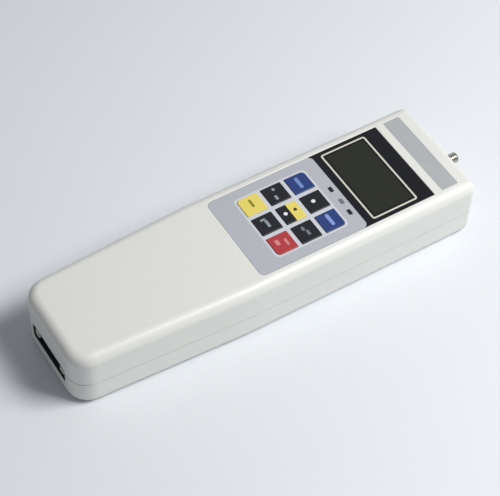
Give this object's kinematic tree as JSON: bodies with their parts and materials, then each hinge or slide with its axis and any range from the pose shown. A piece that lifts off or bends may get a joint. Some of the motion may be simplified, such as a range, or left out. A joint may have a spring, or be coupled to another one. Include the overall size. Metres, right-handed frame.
{
  "type": "force gauge",
  "caption": "Hand-held digital push-pull force gauge: tapered two-part metal housing, foil keypad, display window, threaded measuring shaft on an inner load cell.",
  "frame": {"origin": "on the back face, half way along the body and half way across it", "axes": "+X along the body towards the measuring shaft, +Y across the body, +Z out of the display"},
  "size_m": [0.243, 0.066, 0.0362],
  "materials": {
    "housing_paint": "satin paint on die-cast metal",
    "zinc_steel": "zinc plated",
    "bright_steel": "bright nickel",
    "brass_insert": "turned",
    "brass_bush": "nickel plated, turned",
    "keypad_foil": "fine textured polyester foil",
    "key_yellow": "printed foil",
    "key_black": "printed foil",
    "key_red": "printed foil",
    "key_blue": "printed foil",
    "key_two_tone": "printed foil, half black and half yellow",
    "circuit_film": "polyester film",
    "connector_plastic": "moulded",
    "window_black": "clear acrylic with a black printed border",
    "display_glass": "dark grey-green liquid crystal glass",
    "holder_plastic": "moulded",
    "contact_rubber": "layered contact rubber",
    "label_foil": "matt metallised foil",
    "circuit_board": "green solder resist",
    "chip_plastic": "moulded",
    "header_plastic": "moulded",
    "cell_aluminium": "milled",
    "gauge_film": "polyimide film",
    "bracket_steel": "milled",
    "battery_can": "sleeved metal can",
    "gold_contact": "gold flashed"
  },
  "bodies": {
    "housing": {"front_housing": "housing_paint", "rear_housing": "housing_paint", "housing_screws": "zinc_steel", "mount_inserts": "brass_insert", "keypad_overlay": "keypad_foil", "keypad_circuit": "circuit_film", "contact_domes": "bright_steel", "tail_connector": "connector_plastic", "display_window": "window_black", "display_glass": "display_glass", "display_holder": "holder_plastic", "contact_strips": "contact_rubber", "label_strip": "label_foil", "main_board": "circuit_board", "board_screws": "zinc_steel", "board_chips": "chip_plastic", "board_headers": "header_plastic", "guide_bush": "brass_bush", "load_cell": "cell_aluminium", "strain_gauges": "gauge_film", "cell_bracket": "bracket_steel", "bracket_screws": "zinc_steel", "anchor_bolt": "zinc_steel", "battery_cells": "battery_can", "battery_tray": "holder_plastic", "battery_strap": "bracket_steel", "tray_screws": "zinc_steel", "port_shell": "bright_steel", "port_insert": "connector_plastic", "port_contacts": "gold_contact", "port_board": "circuit_board", "port_posts": "zinc_steel", "power_socket": "connector_plastic", "power_pin": "bright_steel"},
    "shaft": {"measuring_shaft": "bright_steel", "shaft_lock_nut": "zinc_steel", "stop_collar": "zinc_steel"},
    "shift_key_body": {"shift_key": "key_yellow"},
    "menu_key_body": {"menu_key": "key_black"},
    "power_key_body": {"power_key": "key_red"},
    "unit_key_body": {"unit_key": "key_black"},
    "enter_key_body": {"enter_key": "key_two_tone"},
    "mode_key_body": {"mode_key": "key_black"},
    "zero_key_body": {"zero_key": "key_blue"},
    "up_key_body": {"up_key": "key_black"},
    "peak_key_body": {"peak_key": "key_blue"}
  },
  "joints": [
    {"name": "shaft_slide", "type": "slide", "parent": "housing", "child": "shaft", "axis": [1, 0, 0], "range_m": [-0.0003, 0.0003], "stiffness_N_per_m": 20000},
    {"name": "shift_press", "type": "slide", "parent": "housing", "child": "shift_key_body", "axis": [0, 0, -1], "range_m": [0, 0.0004], "stiffness_N_per_m": 400, "springref_m": -0.0002},
    {"name": "menu_press", "type": "slide", "parent": "housing", "child": "menu_key_body", "axis": [0, 0, -1], "range_m": [0, 0.0004], "stiffness_N_per_m": 400, "springref_m": -0.0002},
    {"name": "power_press", "type": "slide", "parent": "housing", "child": "power_key_body", "axis": [0, 0, -1], "range_m": [0, 0.0004], "stiffness_N_per_m": 400, "springref_m": -0.0002},
    {"name": "unit_press", "type": "slide", "parent": "housing", "child": "unit_key_body", "axis": [0, 0, -1], "range_m": [0, 0.0004], "stiffness_N_per_m": 400, "springref_m": -0.0002},
    {"name": "enter_press", "type": "slide", "parent": "housing", "child": "enter_key_body", "axis": [0, 0, -1], "range_m": [0, 0.0004], "stiffness_N_per_m": 400, "springref_m": -0.0002},
    {"name": "mode_press", "type": "slide", "parent": "housing", "child": "mode_key_body", "axis": [0, 0, -1], "range_m": [0, 0.0004], "stiffness_N_per_m": 400, "springref_m": -0.0002},
    {"name": "zero_press", "type": "slide", "parent": "housing", "child": "zero_key_body", "axis": [0, 0, -1], "range_m": [0, 0.0004], "stiffness_N_per_m": 400, "springref_m": -0.0002},
    {"name": "up_press", "type": "slide", "parent": "housing", "child": "up_key_body", "axis": [0, 0, -1], "range_m": [0, 0.0004], "stiffness_N_per_m": 400, "springref_m": -0.0002},
    {"name": "peak_press", "type": "slide", "parent": "housing", "child": "peak_key_body", "axis": [0, 0, -1], "range_m": [0, 0.0004], "stiffness_N_per_m": 400, "springref_m": -0.0002}
  ]
}
